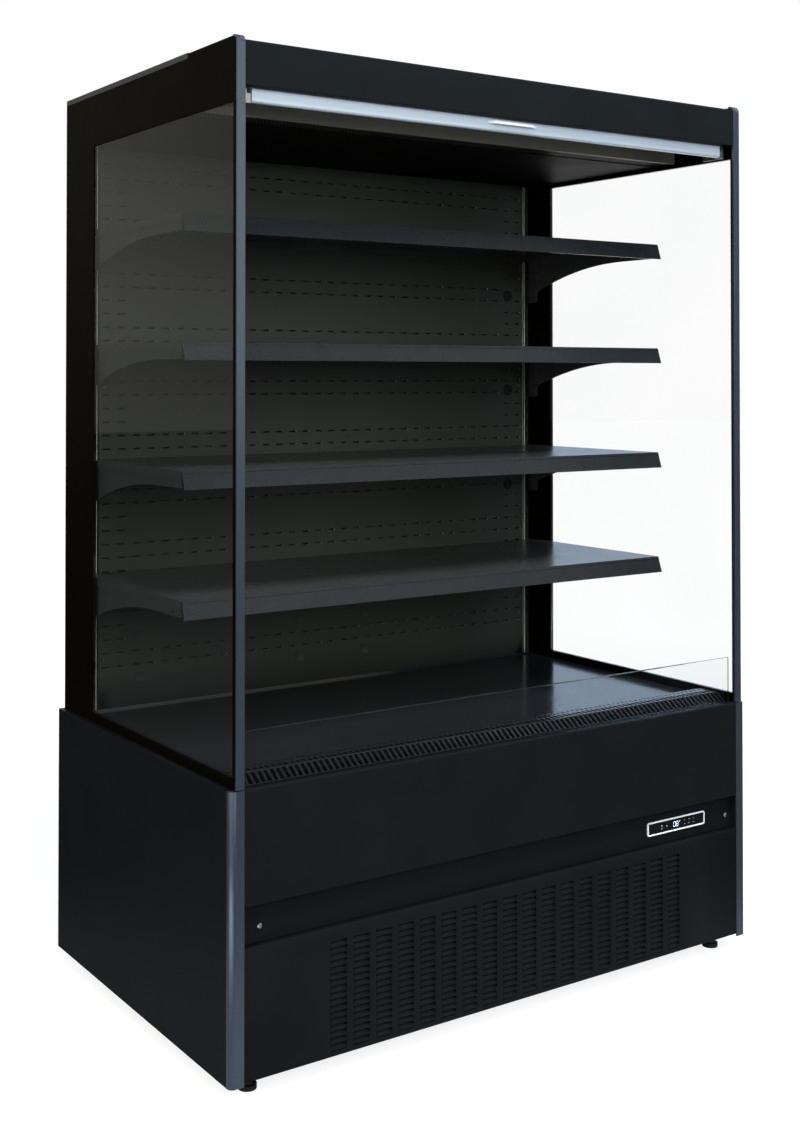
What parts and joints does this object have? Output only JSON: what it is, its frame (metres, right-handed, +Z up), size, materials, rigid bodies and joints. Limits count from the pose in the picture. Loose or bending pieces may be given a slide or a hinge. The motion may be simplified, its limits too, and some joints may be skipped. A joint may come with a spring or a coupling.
{
  "type": "open multideck display fridge",
  "caption": "Upright open-fronted chilled display cabinet with shelves, glazed sides, a pull-down night blind and a louvred machine base.",
  "frame": {"origin": "on the floor, under the middle of the base's outline", "axes": "+Z up, front of the cabinet towards -Y, +X to the right seen from the front"},
  "size_m": [1.37, 0.84, 1.985],
  "materials": {
    "black_paint": "semi-gloss black",
    "body_border": "satin black",
    "roof_paint": "satin dark grey",
    "galvanised": "galvanised sheet",
    "post_anodised": "dark anodised",
    "liner_black": "matt black",
    "deck_black": "gloss black",
    "side_pane": "tinted double pane",
    "riser_pane": "clear toughened",
    "ticket_plastic": "satin grey",
    "outlet_black": "matt black",
    "bezel_silver": "satin",
    "display_black": "gloss black",
    "zinc": "zinc plated",
    "rubber_black": "moulded",
    "fin_aluminium": "plain fins",
    "fan_black": "moulded",
    "motor_steel": "black enamel",
    "box_grey": "moulded",
    "copper": "drawn tube",
    "blind_tube_alu": "mill finish",
    "blind_cloth": "aluminised woven cloth",
    "bar_silver": "silver anodised",
    "handle_silver": "silver anodised"
  },
  "bodies": {
    "cabinet": {"front_upper_panel": "black_paint", "louvre_panel": "black_paint", "controller_strip": "black_paint", "base_side_left": "black_paint", "base_side_right": "black_paint", "base_back_panel": "black_paint", "canopy_fascia": "black_paint", "side_frame_left": "body_border", "side_frame_right": "body_border", "insulated_roof": "roof_paint", "insulated_back": "roof_paint", "insulated_tub": "roof_paint", "base_pan": "galvanised", "condenser_shroud": "galvanised", "fan_plate": "galvanised", "riser_channel": "galvanised", "corner_posts": "post_anodised", "front_profiles": "post_anodised", "back_panel": "liner_black", "ceiling_panel": "liner_black", "air_duct_wall": "liner_black", "uprights": "liner_black", "deck_tray": "deck_black", "intake_grille": "deck_black", "side_glass": "side_pane", "glass_riser": "riser_pane", "honeycomb_grille": "outlet_black", "controller_bezel": "bezel_silver", "controller_display": "display_black", "panel_screws": "zinc", "blind_brackets": "zinc", "power_inlet": "rubber_black", "condenser": "fin_aluminium", "evaporator": "fin_aluminium", "condenser_fan_motor": "motor_steel", "evap_fan_motors": "motor_steel", "compressor": "motor_steel", "control_box": "box_grey", "evaporation_tray": "box_grey", "refrigerant_pipes": "copper", "blind_drop": "blind_cloth"},
    "blind_bar": {"blind_bar": "bar_silver", "blind_handle": "handle_silver"},
    "blind_roller": {"blind_tube": "blind_tube_alu", "blind_roll": "blind_cloth"},
    "condenser_fan": {"condenser_fan": "fan_black"},
    "evap_fan_left": {"evap_fan_left": "fan_black"},
    "evap_fan_right": {"evap_fan_right": "fan_black"},
    "shelf_1": {"shelf_1": "deck_black", "ticket_strip_1": "ticket_plastic"},
    "shelf_2": {"shelf_2": "deck_black", "ticket_strip_2": "ticket_plastic"},
    "shelf_3": {"shelf_3": "deck_black", "ticket_strip_3": "ticket_plastic"},
    "shelf_4": {"shelf_4": "deck_black", "ticket_strip_4": "ticket_plastic"},
    "foot_front_left": {"foot_front_left": "rubber_black"},
    "foot_front_right": {"foot_front_right": "rubber_black"},
    "foot_rear_left": {"foot_rear_left": "rubber_black"},
    "foot_rear_right": {"foot_rear_right": "rubber_black"}
  },
  "joints": [
    {"name": "blind_slide", "type": "slide", "parent": "cabinet", "child": "blind_bar", "axis": [0, 0, -1], "range_m": [0, 1.175], "stiffness_N_per_m": 12, "springref_m": -2, "deforming": ["blind_drop"]},
    {"name": "blind_roll_turn", "type": "hinge", "parent": "cabinet", "child": "blind_roller", "pos_m": [0, -0.366, 1.925], "axis": [1, 0, 0], "range_deg": [0, 2595]},
    {"name": "condenser_fan_spin", "type": "hinge", "parent": "cabinet", "child": "condenser_fan", "pos_m": [0, -0.3, 0.1833], "axis": [0, 1, 0], "continuous": true},
    {"name": "evap_fan_left_spin", "type": "hinge", "parent": "cabinet", "child": "evap_fan_left", "pos_m": [-0.3, -0.049, 0.486], "axis": [0, 1, 0], "continuous": true},
    {"name": "evap_fan_right_spin", "type": "hinge", "parent": "cabinet", "child": "evap_fan_right", "pos_m": [0.3, -0.049, 0.486], "axis": [0, 1, 0], "continuous": true},
    {"name": "shelf_1_lift", "type": "slide", "parent": "cabinet", "child": "shelf_1", "axis": [0, 0, 1], "range_m": [0, 0.008]},
    {"name": "shelf_2_lift", "type": "slide", "parent": "cabinet", "child": "shelf_2", "axis": [0, 0, 1], "range_m": [0, 0.008]},
    {"name": "shelf_3_lift", "type": "slide", "parent": "cabinet", "child": "shelf_3", "axis": [0, 0, 1], "range_m": [0, 0.008]},
    {"name": "shelf_4_lift", "type": "slide", "parent": "cabinet", "child": "shelf_4", "axis": [0, 0, 1], "range_m": [0, 0.008]},
    {"name": "foot_front_left_screw", "type": "slide", "parent": "cabinet", "child": "foot_front_left", "axis": [0, 0, -1], "range_m": [0, 0.02]},
    {"name": "foot_front_right_screw", "type": "slide", "parent": "cabinet", "child": "foot_front_right", "axis": [0, 0, -1], "range_m": [0, 0.02]},
    {"name": "foot_rear_left_screw", "type": "slide", "parent": "cabinet", "child": "foot_rear_left", "axis": [0, 0, -1], "range_m": [0, 0.02]},
    {"name": "foot_rear_right_screw", "type": "slide", "parent": "cabinet", "child": "foot_rear_right", "axis": [0, 0, -1], "range_m": [0, 0.02]}
  ],
  "couplings": [
    {"joint": "blind_roll_turn", "follows": "blind_slide", "rad_per_m": 38.462}
  ]
}
